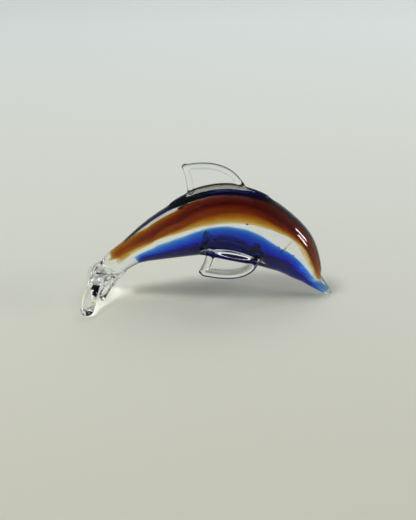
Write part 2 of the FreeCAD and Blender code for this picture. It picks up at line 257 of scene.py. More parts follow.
def swept_distance(x, y, z, path, half_widths, half_heights, plate_normal):
    """Distance to ovals along a path of points, rounded off at both ends.

    The width of each oval lies square to the path and to plate_normal.
    """
    shape = np.broadcast_shapes(x.shape, y.shape, z.shape)
    points = np.stack([np.broadcast_to(c, shape).ravel() for c in (x, y, z)], axis=1)
    points = points.astype(np.float32)
    best = np.full(len(points), np.inf, np.float32)
    where = np.zeros(len(points), np.float32)
    for i in range(len(path) - 1):
        run = path[i + 1] - path[i]
        along = np.clip((points - path[i]) @ run / (run @ run), 0, 1).astype(np.float32)
        gap = points - path[i] - along[:, None] * run
        square = np.einsum("ij,ij->i", gap, gap)
        closer = square < best
        best[closer] = square[closer]
        where[closer] = i + along[closer]
    steps = np.arange(len(path))
    centre = np.stack([np.interp(where, steps, path[:, k]) for k in range(3)], axis=1)
    tangent = np.gradient(path, axis=0)
    tangent = unit(np.stack([np.interp(where, steps, tangent[:, k]) for k in range(3)], axis=1))
    side = unit(np.cross(tangent, plate_normal))
    away = points - centre
    u, v, w = (np.einsum("ij,ij->i", away, axis) for axis in (side, np.cross(side, tangent), tangent))
    half_u = np.interp(where, steps, half_widths)
    half_v = np.interp(where, steps, half_heights)
    size = np.sqrt((u / half_u) ** 2 + (v / half_v) ** 2 + (w / half_v) ** 2)
    steepness = np.sqrt((u / half_u ** 2) ** 2 + (v / half_v ** 2) ** 2 + (w / half_v ** 2) ** 2)
    return oval_distance(size, steepness).reshape(shape)


# ================================================================== fins
Foot = namedtuple("Foot", "half_width half_height overrun proud")
Saddle = namedtuple("Saddle", "half_length half_width rise")

ROOT_DEPTH = 4.0         # of a fin's root below the skin
PLANE_OVERRUN = 3.5      # past each end of a fin's chord, where its plane meets the skin
REAR_SAMPLES, FRONT_SAMPLES = 14, 36
WEB_FILLET = 1.2         # between rim and web, of the step from one to the other
LEAST_WEB_FILLET = 0.3
FOOT_MELT = 1.2
FOOT_SAMPLES = 15
FOOT_END = 0.35          # of a foot's full size, at its two ends
FOOT_FULLNESS = 0.7      # below 1, a foot keeps its full size nearer to its ends
BEAD_RADIUS = 1.45       # where the dorsal fin's rear tip was pulled off
BEAD_MELT = 1.0
SADDLE_EDGE = 0.28       # of a saddle's spread, over which it rises off the skin
DORSAL_PLACE, DORSAL_CHORD, DORSAL_HEIGHT = 0.470, 33.5, 15.4
PECTORAL_PLACE, PECTORAL_CHORD, PECTORAL_HEIGHT = 0.560, 33.0, 16.0
PECTORAL_ANGLE, PECTORAL_DROOP = 36.0, 45.0
# Free edges: (along the chord, out from the root), from the rear of the root to its front.
DORSAL_REAR = ((-0.450, 0.00), (-0.468, 0.50), (-0.500, 0.93))
DORSAL_FRONT = ((-0.455, 1.000), (-0.180, 1.015), (0.080, 0.900), (0.300, 0.620), (0.480, 0.080))
DORSAL_BEAD = (-0.462, 0.91)
PECTORAL_REAR = ((-0.420, 0.00), (-0.440, 0.48), (-0.508, 0.93))
PECTORAL_FRONT = ((-0.430, 1.055), (-0.160, 1.035), (0.130, 0.910), (0.370, 0.580), (0.480, 0.080))


def polygon_distance(u, v, outline):
    """Signed distance in a plane to a closed outline, negative inside it."""
    square = np.full(u.shape, np.inf)
    inside = np.zeros(u.shape, bool)
    ends = np.roll(outline, -1, axis=0)
    for (au, av), (bu, bv) in zip(outline, ends):
        ru, rv = bu - au, bv - av
        run_square = ru * ru + rv * rv + TINY ** 2
        along = np.clip(((u - au) * ru + (v - av) * rv) / run_square, 0, 1)
        square = np.minimum(square, (u - au - along * ru) ** 2 + (v - av - along * rv) ** 2)
        if bv != av:
            inside ^= ((av > v) != (bv > v)) & (u < (bu - au) * (v - av) / (bv - av) + au)
    return np.where(inside, -1, 1) * np.sqrt(square)


class Blade:
    """A pressed fin: a thick rounded rim round a flat web, standing on the body's skin."""

    def __init__(self, rear, front, size, origin, along, outward, rim, web):
        self.origin = np.array(origin)
        self.along = np.array(along) / np.linalg.norm(along)
        normal = np.cross(self.along, outward)
        self.normal = normal / np.linalg.norm(normal)
        self.outward = np.cross(self.normal, self.along)
        self.rim = rim
        self.web = web
        rear_edge = curve_through(np.array(rear) * size, REAR_SAMPLES)
        front_edge = curve_through(np.array(front) * size, FRONT_SAMPLES)
        root_rear = (rear_edge[0][0], -ROOT_DEPTH)
        root_front = (front_edge[-1][0], -ROOT_DEPTH)
        self.outline = np.vstack((root_rear, rear_edge, front_edge, root_front))
        corners = [self.place(u, v, w) for u, v in self.outline for w in (-2 * rim, 2 * rim)]
        self.low = np.min(corners, axis=0) - MELT
        self.high = np.max(corners, axis=0) + MELT

    def place(self, u, v, w=0.0):
        return self.origin + u * self.along + v * self.outward + w * self.normal

    def distance(self, x, y, z):
        dx, dy, dz = x - self.origin[0], y - self.origin[1], z - self.origin[2]
        axes = (self.along, self.outward, self.normal)
        u, v, w = (dx * axis[0] + dy * axis[1] + dz * axis[2] for axis in axes)
        edge = polygon_distance(u, v, self.outline)
        rim = np.hypot(edge + self.rim, w) - self.rim
        web = np.maximum(edge + self.rim, np.abs(w) - self.web)
        return smooth_union(rim, web, WEB_FILLET * (self.rim - self.web) + LEAST_WEB_FILLET)


class Fin:
    """Where a fin stands on the skin, its blade, and the foot of glass that holds it."""

    def __init__(self, rear, front, place, size, degrees, outward, rim, web, foot, saddle, bead=None):
        chord = size[0]
        self.arc = spine.arc_at(place)
        self.degrees = degrees
        self.outward = np.array(outward)
        self.saddle = saddle
        self.bead = bead
        reach = chord / 2 + PLANE_OVERRUN
        ends = spine.point(self.arc + reach * np.array((-1, 1)), degrees)
        along = ends[1] - ends[0]
        self.blade = Blade(rear, front, size, spine.point(self.arc, degrees), along, outward, rim, web)
        reach = chord / 2 + foot.overrun
        skin_line = spine.point(self.arc + reach * np.linspace(-1, 1, FOOT_SAMPLES), degrees)
        self.foot_path = skin_line + foot.proud * self.outward
        bulge = np.sin(np.pi * np.linspace(0, 1, FOOT_SAMPLES)) ** FOOT_FULLNESS
        swell = FOOT_END + (1 - FOOT_END) * bulge
        self.foot_widths = foot.half_width * swell
        self.foot_heights = foot.half_height * swell

    def saddle_rise(self, arc, turn, radius):
        """How far the skin is lifted round the fin, at places given from the spine."""
        around = np.radians((turn - self.degrees + 180) % 360 - 180) * radius
        spread = np.hypot((arc - self.arc) / self.saddle.half_length, around / self.saddle.half_width)
        rise = np.clip((1 - spread) / SADDLE_EDGE, 0, 1)
        return self.saddle.rise * rise * rise * (3 - 2 * rise)

    def melt_into(self, field):
        cut, x, y, z = field.block(self.blade.low, self.blade.high)
        field.melt_in(cut, self.blade.distance(x, y, z), MELT)
        margin = 2 * MELT
        foot = (self.foot_path, self.foot_widths, self.foot_heights, self.outward)
        field.melt_along(*foot, margin, FOOT_MELT)
        if self.bead:
            tip = self.blade.place(*self.bead)
            cut, x, y, z = field.block(tip - margin, tip + margin)
            gap = np.sqrt((x - tip[0]) ** 2 + (y - tip[1]) ** 2 + (z - tip[2]) ** 2)
            field.melt_in(cut, gap - BEAD_RADIUS, BEAD_MELT)


def dorsal_fin():
    return Fin(
        DORSAL_REAR, DORSAL_FRONT, DORSAL_PLACE, (DORSAL_CHORD, DORSAL_HEIGHT), 0, (0, 0, 1),
        rim=1.6, web=0.85,
        foot=Foot(half_width=2.8, half_height=1.6, overrun=3.5, proud=0.4),
        saddle=Saddle(half_length=25.5, half_width=8.2, rise=0.9),
        bead=(DORSAL_BEAD[0] * DORSAL_CHORD, DORSAL_BEAD[1] * DORSAL_HEIGHT))


def pectoral_fin(side):
    droop = math.radians(PECTORAL_DROOP)
    outward = (0, side * math.cos(droop), -math.sin(droop))
    degrees = side * (90 + PECTORAL_ANGLE)
    return Fin(
        PECTORAL_REAR, PECTORAL_FRONT, PECTORAL_PLACE, (PECTORAL_CHORD, PECTORAL_HEIGHT), degrees, outward,
        rim=2.0, web=1.0,
        foot=Foot(half_width=3.3, half_height=2.6, overrun=6.0, proud=1.6),
        saddle=Saddle(half_length=24.0, half_width=5.4, rise=0.7))


fins = {
    "dorsal_fin": dorsal_fin(),
    "pectoral_fin_left": pectoral_fin(1),
    "pectoral_fin_right": pectoral_fin(-1),
}


# ================================================================== tail
TAIL_NECK = np.array((8.0, 0, 8.2))    # from the body's end back and down to the fork
TAIL_LAP = 7.0                         # of the neck over the body
FORK_HEIGHT, FORK_WIDTH = 11.0, 15.0
NECK_HALF_WIDTHS = np.array((6.0, 6.2, 6.3, 6.6, FORK_WIDTH / 2))
NECK_HALF_HEIGHTS = np.array((6.9, 7.0, 6.8, 6.0, FORK_HEIGHT / 2))
NECK_NORMAL = np.array((-0.7, 0, 0.7))
NECK_MELT, LOBE_MELT, FOLD_MELT = 2.0, 3.0, 0.9
NECK_MARGIN, LOBE_MARGIN = 12.0, 9.0
FLUKE_SPREAD, FLUKE_SWEEP, FLUKE_BOW, FLUKE_SLOPE = 24.2, 7.0, 1.5, math.radians(45.0)
# From the fork over the middle to the tip.
FLUKE_CHORDS = (13.5, 11.6, 8.8)
FLUKE_THICKNESSES = (8.4, 7.6, 7.2)
LOBE_SAMPLES = 13

# Folds pulled out from the neck along each lobe: (offset, radius) off the body's end, off the
# fork and off the lobe's line, and the share of that line where the last one is.
FOLDS = (
    (((4.0, 1.0, -5.0), 1.6), ((6.0, 0.5, -1.5), 3.3), ((5.0, 0.0, -0.8), 1.7), 0.64),
    (((-2.0, 2.0, 5.0), 1.4), ((-3.4, 1.5, 3.6), 2.7), ((-2.6, 0.0, 3.0), 1.3), 0.52),
)

tail_end = np.array((spine.x[0], 0, spine.z[0]))
fork = tail_end - TAIL_NECK
fluke_normal = np.array((-math.sin(FLUKE_SLOPE), 0, math.cos(FLUKE_SLOPE)))


def fluke_tip(side):
    half_chord, half_thickness = FLUKE_CHORDS[-1] / 2, FLUKE_THICKNESSES[-1] / 2
    drop = math.hypot(half_chord * math.sin(FLUKE_SLOPE), half_thickness * math.cos(FLUKE_SLOPE))
    return np.array((fork[0] - FLUKE_SWEEP, side * FLUKE_SPREAD, drop - GROUND_FLAT))


def melt_neck(field):
    lap, half_lap = (spine.point(arc, 0, 0.0) for arc in (TAIL_LAP, TAIL_LAP / 2))
    path = np.array((lap, half_lap, tail_end, (tail_end + fork) / 2, fork))
    field.melt_along(path, NECK_HALF_WIDTHS, NECK_HALF_HEIGHTS, NECK_NORMAL, NECK_MARGIN, NECK_MELT)


def melt_lobe(field, side):
    tip = fluke_tip(side)
    middle = (fork + tip) / 2 + fluke_normal * FLUKE_BOW
    path = curve_through((fork, middle, tip), LOBE_SAMPLES)
    shares = np.linspace(0, 1, LOBE_SAMPLES)
    chords = np.interp(shares, (0, 0.5, 1), FLUKE_CHORDS) / 2
    thicknesses = np.interp(shares, (0, 0.5, 1), FLUKE_THICKNESSES) / 2
    field.melt_along(path, chords, thicknesses, fluke_normal, LOBE_MARGIN, LOBE_MELT)


def melt_folds(field, side):
    tip = fluke_tip(side)
    for *marks, share in FOLDS:
        bases = (tail_end, fork, fork + share * (tip - fork))
        knots = [base + np.array(offset) * (1, side, 1) for base, (offset, _) in zip(bases, marks)]
        path = curve_through(knots, LOBE_SAMPLES)
        radii = np.interp(np.linspace(0, 2, LOBE_SAMPLES), (0, 1, 2), [radius for _, radius in marks])
        field.melt_along(path, radii, radii, fluke_normal, LOBE_MARGIN, FOLD_MELT)


# ================================================================== the melted skin
WAVES = 5                # sines added up for an unevenness
BODY_WAVE = (26.0, 0.10, 3)            # wavelength, height and random seed
TAIL_WAVE = (11.0, 0.32, 8)
TAIL_WAVE_FADE = 6.0     # behind the body's end, over which the tail's unevenness takes over
NEWTON_ROUNDS = 2        # that move the mesh's points onto the field's zero
LEAST_STEEPNESS = 0.2


def hand_worked(x, y, z, wavelength, height, seed):
    """A gentle unevenness, as hot-worked glass has."""
    rng = np.random.default_rng(seed)
    wave = 0.0
    for _ in range(WAVES):
        direction = rng.normal(size=3)
        direction *= 2 * np.pi / wavelength / np.linalg.norm(direction) * rng.uniform(0.7, 1.4)
        wave = wave + np.sin(x * direction[0] + y * direction[1] + z * direction[2] + rng.uniform(0, 6.3))
    return height * wave / WAVES


def fill_field():
    """The distances to the whole figure, cut off flat at the ground."""
    field = Field()
    fill_body(field)
    for fin in fins.values():
        fin.melt_into(field)
    melt_neck(field)
    for side in (-1, 1):
        melt_lobe(field, side)
        melt_folds(field, side)
    x, y, z = field.axes
    for i, along in enumerate(x):
        share = np.clip((tail_end[0] - along) / TAIL_WAVE_FADE, 0, 1)
        body_wave = hand_worked(along, y[:, None], z[None, :], *BODY_WAVE)
        tail_wave = hand_worked(along, y[:, None], z[None, :], *TAIL_WAVE)
        field.values[i] += (1 - share) * body_wave + share * tail_wave
    np.maximum(field.values, -z, out=field.values)
    return field


class Skin:
    """The whole outer surface as one closed mesh, with the field it was drawn from."""

    def __init__(self):
        self.field = fill_field()
        grid = openvdb.FloatGrid(FAR_AWAY)
        grid.copyFromArray(self.field.values)
        points, self.quads = grid.convertToQuads(isovalue=0.0)
        points = self.field.low + points.astype(float) * GRID
        for _ in range(NEWTON_ROUNDS):
            slope = self.slope_at(points)
            steep = np.maximum(np.einsum("ij,ij->i", slope, slope), LEAST_STEEPNESS)
            points -= slope * (self.read(points) / steep)[:, None]
        self.points = points

    def read(self, points):
        """The field's value at each point, between the eight grid points round it."""
        values = self.field.values
        place = (points - self.field.low) / GRID
        base = np.clip(np.floor(place).astype(int), 0, np.array(values.shape) - 2)
        part = place - base
        total = 0.0
        for corner in np.ndindex(2, 2, 2):
            weight = np.prod(np.where(corner, part, 1 - part), axis=1)
            total = total + weight * values[tuple((base + corner).T)]
        return total

    def slope_at(self, points):
        sides = []
        for step in np.eye(3) * GRID:
            sides.append((self.read(points + step) - self.read(points - step)) / (2 * GRID))
        return np.stack(sides, axis=1)


skin = Skin()


# ================================================================== mesh tools
def make_object(name, points, faces, materials=()):
    """A closed mesh, with its faces turned outwards."""
    mesh = bpy.data.meshes.new(name)
    mesh.from_pydata(np.asarray(points).tolist(), [], [list(map(int, face)) for face in faces])
    for material in materials:
        mesh.materials.append(material)
    mesh.validate()
    solid = bmesh.new()
    solid.from_mesh(mesh)
    if solid.calc_volume(signed=True) < 0:
        bmesh.ops.reverse_faces(solid, faces=solid.faces)
        solid.to_mesh(mesh)
    solid.free()
    return link_object(name, mesh)


def link_object(name, data):
    made = bpy.data.objects.new(name, data)
    bpy.context.scene.collection.objects.link(made)
    return made


def read_points(mesh):
    """A mesh's points, in millimetres."""
    points = np.empty(len(mesh.vertices) * 3, np.float32)
    mesh.vertices.foreach_get("co", points)
    return points.reshape(-1, 3) / MM


def set_normals(made):
    """Skin faces take their shading from the field, so that the cuts don't show in it."""
    mesh = made.data
    faces = len(mesh.polygons)
    slots = np.empty(faces, np.int32)
    mesh.polygons.foreach_get("material_index", slots)
    counts = np.empty(faces, np.int32)
    mesh.polygons.foreach_get("loop_total", counts)
    flat = np.empty(faces * 3, np.float32)
    mesh.polygons.foreach_get("normal", flat)
    flat = np.repeat(flat.reshape(-1, 3), counts, axis=0)
    corners = np.empty(len(mesh.loops), np.int32)
    mesh.loops.foreach_get("vertex_index", corners)
    slope = skin.slope_at(read_points(mesh))
    slope /= np.maximum(np.linalg.norm(slope, axis=1), TINY)[:, None]
    on_skin = np.repeat(slots == 0, counts)[:, None]
    smooth_faces(made)
    mesh.normals_split_custom_set(np.where(on_skin, slope[corners], flat).tolist())


def smooth_faces(made):
    made.data.polygons.foreach_set("use_smooth", np.ones(len(made.data.polygons), bool))


def cut(made, cutter, operation):
    """The part of a piece inside or outside a cutter, as a new mesh."""
    step = made.modifiers.new("cut", "BOOLEAN")
    step.operation = operation
    step.solver = "MANIFOLD"
    step.object = cutter
    step.material_mode = "TRANSFER"
    graph = bpy.context.evaluated_depsgraph_get()
    mesh = bpy.data.meshes.new_from_object(made.evaluated_get(graph))
    made.modifiers.remove(step)
    return mesh


def replace_mesh(made, mesh):
    old = made.data
    made.data = mesh
    bpy.data.meshes.remove(old)


def grid_faces(rows, columns, start=0, flip=False):
    """Quads over a grid of points that is numbered row by row."""
    faces = []
    for i in range(rows - 1):
        for j in range(columns - 1):
            a = start + i * columns + j
            face = (a, a + 1, a + columns + 1, a + columns)
            faces.append(face[::-1] if flip else face)
    return faces


def ring_faces(start, around, flip=False):
    """Quads from one ring of points to the next, both of them numbered from start."""
    faces = []
    for j in range(around):
        a, b = start + j, start + (j + 1) % around
        faces.append((a, b, b + around, a + around) if flip else (a, a + around, b + around, b))
    return faces


def slab(name, top, bottom, materials):
    """A closed solid between two grids of points of the same shape."""
    rows, columns = top.shape[:2]
    count = rows * columns
    points = np.vstack((top.reshape(-1, 3), bottom.reshape(-1, 3)))
    faces = grid_faces(rows, columns) + grid_faces(rows, columns, count, flip=True)
    border = list(range(columns))
    border += [i * columns + columns - 1 for i in range(1, rows)]
    border += [(rows - 1) * columns + j for j in range(columns - 2, -1, -1)]
    border += [i * columns for i in range(rows - 2, 0, -1)]
    for a, b in zip(border, border[1:] + border[:1]):
        faces.append((b, a, a + count, b + count))
    return make_object(name, points * MM, faces, materials)


def finish_piece(piece, slot, *nodes):
    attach(piece, "root")
    if nodes:
        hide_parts(*nodes)


# ================================================================== materials
EDGE_SHADE_MARK = "rim"                           # a blade's attribute, 1 on its edge line of painted shade
AMBER_ABSORBS = (115.0, 275.0, 830.0)      # per metre, in red, green and blue
DARK_AMBER_ABSORBS = (260.0, 800.0, 2600.0)
BLUE_ABSORBS = (1300.0, 600.0, 105.0)
CLEAR_INDEX = 1.5
COLOUR_INDEX = 1.0                         # the layers are fused in, so they don't bend light
BUBBLE_INDEX = 0.667                       # of air, seen from inside the glass
WAVE_DEPTH = 0.00003                       # of the clear glass's surface, in metres


def new_material(name):
    material = bpy.data.materials.new(name)
    material.use_nodes = True
    nodes = material.node_tree.nodes
    nodes.clear()
    return material, nodes, material.node_tree.links.new


def show(nodes, link, surface, volume=None):
    """Gives a material its surface, and its inside if it has one."""
    out = nodes.new("ShaderNodeOutputMaterial")
    link(surface, out.inputs["Surface"])
    if volume:
        link(volume, out.inputs["Volume"])


def streaks(nodes, link, scale, stretch, detail=3.0):
    """Noise in the object's own coordinates, drawn out along its length."""
    place = nodes.new("ShaderNodeTexCoord")
    mapping = nodes.new("ShaderNodeMapping")
    mapping.inputs["Scale"].default_value = (scale * stretch, scale, scale)
    noise = nodes.new("ShaderNodeTexNoise")
    noise.inputs["Scale"].default_value = 1.0
    noise.inputs["Detail"].default_value = detail
    link(place.outputs["Object"], mapping.inputs["Vector"])
    link(mapping.outputs["Vector"], noise.inputs["Vector"])
    return noise.outputs["Fac"]


def between(nodes, link, factor, low, high):
    """A noise's middle range, spread from low to high."""
    ramp = nodes.new("ShaderNodeMapRange")
    ramp.inputs["To Min"].default_value = low
    ramp.inputs["To Max"].default_value = high
    ramp.inputs["From Min"].default_value = 0.3
    ramp.inputs["From Max"].default_value = 0.7
    link(factor, ramp.inputs["Value"])
    return ramp.outputs["Result"]


def mix_colours(nodes, link, factor, first, second):
    """From first to second by factor; each is a colour or another node's output."""
    mix = nodes.new("ShaderNodeMix")
    mix.data_type = "RGBA"
    link(factor, mix.inputs["Factor"])
    for letter, colour in (("A", first), ("B", second)):
        if isinstance(colour, tuple):
            mix.inputs[letter].default_value = (*colour, 1)
        else:
            link(colour, mix.inputs[letter])
    return mix.outputs["Result"]


def painted_edge_shade(nodes, link):
    """Clear glass's colour, with painted shade: darker where it is seen edge on, and on a blade's edge line.
    """
    # Painted shade: the base colour turns dark grey where the glass is seen edge on.
    edge = nodes.new("ShaderNodeLayerWeight")
    edge.inputs["Blend"].default_value = 0.5
    depth = nodes.new("ShaderNodeMapRange")
    depth.inputs["From Min"].default_value = 0.72
    link(edge.outputs["Facing"], depth.inputs["Value"])
    edge_shaded = mix_colours(nodes, link, depth.outputs["Result"], (0.985, 0.99, 0.985), (0.22, 0.26, 0.28))
    # Painted shade: a near-black line where a blade's edge is marked.
    rim = nodes.new("ShaderNodeAttribute")
    rim.attribute_name = EDGE_SHADE_MARK
    return mix_colours(nodes, link, rim.outputs["Fac"], edge_shaded, (0.10, 0.12, 0.13))


def glass_shader(nodes, index):
    glass = nodes.new("ShaderNodeBsdfPrincipled")
    glass.inputs["Transmission Weight"].default_value = 1.0
    glass.inputs["IOR"].default_value = index
    return glass


def clear_material():
    """Clear glass with a faint wave in its surface, which throws only a light shadow."""
    material, nodes, link = new_material("clear_glass")
    glass = glass_shader(nodes, CLEAR_INDEX)
    # The base colour carries painted shade at grazing angles and on blade edge lines.
    link(painted_edge_shade(nodes, link), glass.inputs["Base Color"])
    link(between(nodes, link, streaks(nodes, link, 160.0, 0.5), 0.0, 0.03), glass.inputs["Roughness"])
    bump = nodes.new("ShaderNodeBump")
    bump.inputs["Strength"].default_value = 1.0
    bump.inputs["Distance"].default_value = WAVE_DEPTH
    link(streaks(nodes, link, 110.0, 0.45, 1.0), bump.inputs["Height"])
    link(bump.outputs["Normal"], glass.inputs["Normal"])
    ray = nodes.new("ShaderNodeLightPath")
    through = nodes.new("ShaderNodeBsdfTransparent")
    through.inputs["Color"].default_value = (0.74, 0.75, 0.74, 1)
    shade = nodes.new("ShaderNodeMixShader")
    link(ray.outputs["Is Shadow Ray"], shade.inputs["Fac"])
    link(glass.outputs["BSDF"], shade.inputs[1])
    link(through.outputs["BSDF"], shade.inputs[2])
    show(nodes, link, shade.outputs["Shader"])
    return material


def coloured_material(name, absorbs, streak_colour):
    """Glass that takes out colour by depth, with drawn-out streaks of a deeper tint."""
    material, nodes, link = new_material(name)
    glass = glass_shader(nodes, COLOUR_INDEX)
    glass.inputs["Roughness"].default_value = 0.0
    drawn = between(nodes, link, streaks(nodes, link, 260.0, 0.12), 0.0, 1.0)
    link(mix_colours(nodes, link, drawn, (1, 1, 1), streak_colour), glass.inputs["Base Color"])
    volume = nodes.new("ShaderNodeVolumeAbsorption")
    density = max(absorbs) * 1.02
    volume.inputs["Density"].default_value = density
    volume.inputs["Color"].default_value = (*(1 - rate / density for rate in absorbs), 1)
    show(nodes, link, glass.outputs["BSDF"], volume.outputs["Volume"])
    return material


def weld_material():
    """For the faces where two pieces of clear glass are fused: nothing shows there."""
    material, nodes, link = new_material("weld")
    clear = nodes.new("ShaderNodeBsdfTransparent")
    show(nodes, link, clear.outputs["BSDF"])
    return material


def air_material():
    material, nodes, link = new_material("air_bubble")
    air = nodes.new("ShaderNodeBsdfGlass")
    air.inputs["IOR"].default_value = BUBBLE_INDEX
    link(between(nodes, link, streaks(nodes, link, 900.0, 1.0), 0.0, 0.06), air.inputs["Roughness"])
    show(nodes, link, air.outputs["BSDF"])
    return material


def speck_material():
    material, nodes, link = new_material("dark_speck")
    grit = nodes.new("ShaderNodeBsdfPrincipled")
    grit.inputs["Base Color"].default_value = (0.02, 0.015, 0.01, 1)
    link(between(nodes, link, streaks(nodes, link, 2500.0, 1.0), 0.4, 0.8), grit.inputs["Roughness"])
    show(nodes, link, grit.outputs["BSDF"])
    return material


clear_glass = clear_material()
amber_glass = coloured_material("amber_glass", AMBER_ABSORBS, (0.90, 0.82, 0.70))
blue_glass = coloured_material("blue_glass", BLUE_ABSORBS, (0.74, 0.84, 0.94))
weld = weld_material()


# ================================================================== the clear pieces
EDGE_SHADE_LINE = 0.7           # width of the line of painted dark shade along a blade's edge
RIM_START, RIM_FADE = 1.0, 1.5         # above the skin, where that line begins
SEAM_DEPTH = 0.9         # of a fin's underside below the body's skin
SEAM_MARGIN = (1.2, 1.5)               # past a fin's saddle, along the body and round it
FIN_CUT_HEIGHT = 28.0
TAIL_CUT = -1.5          # where the tail bit starts, along the spine
FLUKE_CUT = 6.0          # where each fluke starts, off the middle plane
BLOCK_SIZE = 60.0


def fin_cutter(name, fin):
    """A slab that follows the body's skin, just below it, and reaches out past the fin."""
    reach = fin.saddle.half_length + SEAM_MARGIN[0]
    grid = []
    for arc in fin.arc + reach * np.linspace(-1, 1, 41):
        radius = spine.at(arc)[4]
        spread = math.degrees((fin.saddle.half_width + SEAM_MARGIN[1]) / radius)
        sides = fin.degrees + spread * np.linspace(-1, 1, 13)
        grid.append([spine.point(arc, side, 1 - SEAM_DEPTH / radius) for side in sides])
    grid = np.array(grid)
    return slab(name + "_cutter", grid, grid + fin.outward * FIN_CUT_HEIGHT, [weld])


def block_cutter(name, centre, forward):
    """A block behind the plane through centre, square to forward."""
    forward = np.array(forward, float) / np.linalg.norm(forward)
    side = np.cross(forward, (0, 0, 1.0))
    side /= np.linalg.norm(side)
    up = np.cross(side, forward)
    across = np.linspace(-BLOCK_SIZE, BLOCK_SIZE, 3)
    grid = np.array([[centre + u * side + v * up for v in across] for u in across])
    return slab(name + "_cutter", grid, grid - forward * BLOCK_SIZE, [weld])


def clear_piece(name, mesh, *nodes):
    piece = link_object(name + "_glass", mesh)
    set_normals(piece)
    finish_piece(piece, "clear_glass", *nodes)
    return piece


def mark_edge_shade(piece, blade):
    """Marks the outermost line of a blade, where its edge gets painted shade."""
    away = read_points(piece.data) - blade.origin
    u, v = away @ blade.along, away @ blade.outward
    inward = -polygon_distance(u, v, blade.outline)
    mark = np.clip(1 - inward / EDGE_SHADE_LINE, 0, 1) * np.clip((v - RIM_START) / RIM_FADE, 0, 1)
    rim = piece.data.attributes.new(EDGE_SHADE_MARK, "FLOAT", "POINT")
    rim.data.foreach_set("value", mark.astype(np.float32))


def split_off(rest, cutter):
    """Takes what lies in the cutter off the rest, and gives it as a mesh."""
    mesh = cut(rest, cutter, "INTERSECT")
    replace_mesh(rest, cut(rest, cutter, "DIFFERENCE"))
    return mesh


def make_clear_pieces():
    whole = make_object("whole", skin.points * MM, skin.quads, [clear_glass])
    x, z, fx, fz, _ = spine.at(np.array(TAIL_CUT))
    cutter = block_cutter("tail", np.array((x, 0, z)), (fx, 0, fz))
    tail = link_object("tail_whole", split_off(whole, cutter))
    spares = [whole, tail, cutter]
    for side, name in ((1, "fluke_left"), (-1, "fluke_right")):
        cutter = block_cutter(name, np.array((-60.0, side * FLUKE_CUT, 10.0)), (0, -side, 0))
        clear_piece(name, split_off(tail, cutter), name)
        spares.append(cutter)
    clear_piece("tail_bit", tail.data.copy(), "tail_bit")
    for name, fin in fins.items():
        cutter = fin_cutter(name, fin)
        mark_edge_shade(clear_piece(name, split_off(whole, cutter), name), fin.blade)
        spares.append(cutter)
    clear_piece("body", whole.data.copy(), "clear_casing", "clear_core")
    for spare in spares:
        bpy.data.objects.remove(spare)


make_clear_pieces()


# ================================================================== the colours inside
# Wall of clear glass over the colours: (along, over the back, under the belly, at the flank).
WALLS = np.array((
    (0.00, 1.1, 0.9, 0.9), (0.07, 2.6, 1.0, 1.2), (0.18, 6.8, 1.4, 1.8), (0.32, 8.8, 2.0, 2.8),
    (0.50, 7.8, 2.8, 3.2), (0.75, 4.4, 2.2, 2.8), (0.90, 2.0, 1.2, 1.4), (1.00, 0.7, 0.7, 0.7),
))
# Edges on the left side: (along, of the amber, of the blue), in degrees round from the back.
LEFT_EDGES = np.array((
    (0.00, 115, 125), (0.10, 95, 122), (0.25, 78, 118), (0.50, 82, 118),
    (0.75, 86, 118), (0.92, 90, 110), (1.00, 90, 15),
))
# Edges on the right side: (along, of the amber, of the blue), up the half height.
RIGHT_EDGES = np.array((
    (0.00, -0.40, -0.50), (0.08, -0.10, -0.36), (0.20, 0.28, 0.00), (0.45, 0.10, 0.04),
    (0.60, 0.16, 0.00), (0.75, 0.32, -0.16), (0.90, 0.42, -0.12), (0.94, 0.50, 0.20), (1.00, 0.99, 0.97),
))
AMBER, BLUE = 1, 2                     # their columns in the two tables above
LAYER_TILT = math.radians(20.0)        # of both right edges round the spine, towards the back
THINNER = {AMBER: 0.55, BLUE: 0.25}    # at the amber's left edge and at the blue's right edge
EDGE_WAVER = 0.02                      # of the right edge's reach
LAYER_ROWS, LAYER_COLUMNS = 190, 65
LEAST_THICKNESS = 0.04
MOST_THICKNESS = 0.8                   # of the layers' half width
TAIL_TAPER = 4.0                       # length over which a layer thins out at its tail end
RAGGED_REACH = 14.0                    # from the amber's tail end, where its edge is drawn out


def inner_oval(arc):
    """Centre height, half height and half width of the coloured layers' outer oval."""
    share = (spine.at(arc)[0] - spine.x[0]) / BODY_LENGTH
    radius = float(spine.at(arc)[4])
    back, belly, flank = (np.interp(share, WALLS[:, 0], WALLS[:, i]) for i in (1, 2, 3))
    return share, (belly - back) / 2, radius - (back + belly) / 2, radius * WIDTH_RATIO - flank


def edge_waver(seed, arcs, turns):
    """A slow wave along a layer, out of step between its two halves."""
    rng = np.random.default_rng(seed)
    half = (turns > 0) * 1.0
    wave = 0.0
    for _ in range(WAVES):
        height = rng.uniform(0.4, 1)
        phase = arcs[:, None] * rng.uniform(0.15, 0.7) + rng.uniform(0, 6.3) + half * rng.uniform(0, 3)
        wave = wave + height * np.sin(phase)
    return wave / WAVES


def layer_angles(colour, share, turns, wave):
    """Angles round the spine from a layer's right edge to its left one, over its own side."""
    left = math.radians(np.interp(share, LEFT_EDGES[:, 0], LEFT_EDGES[:, colour]))
    edge = np.interp(share, RIGHT_EDGES[:, 0], RIGHT_EDGES[:, colour])
    right = (math.acos(edge) - LAYER_TILT) * (1 + EDGE_WAVER * wave)
    around = left + right if colour == AMBER else left + right - 2 * math.pi
    return around * (turns + 1) / 2 - right


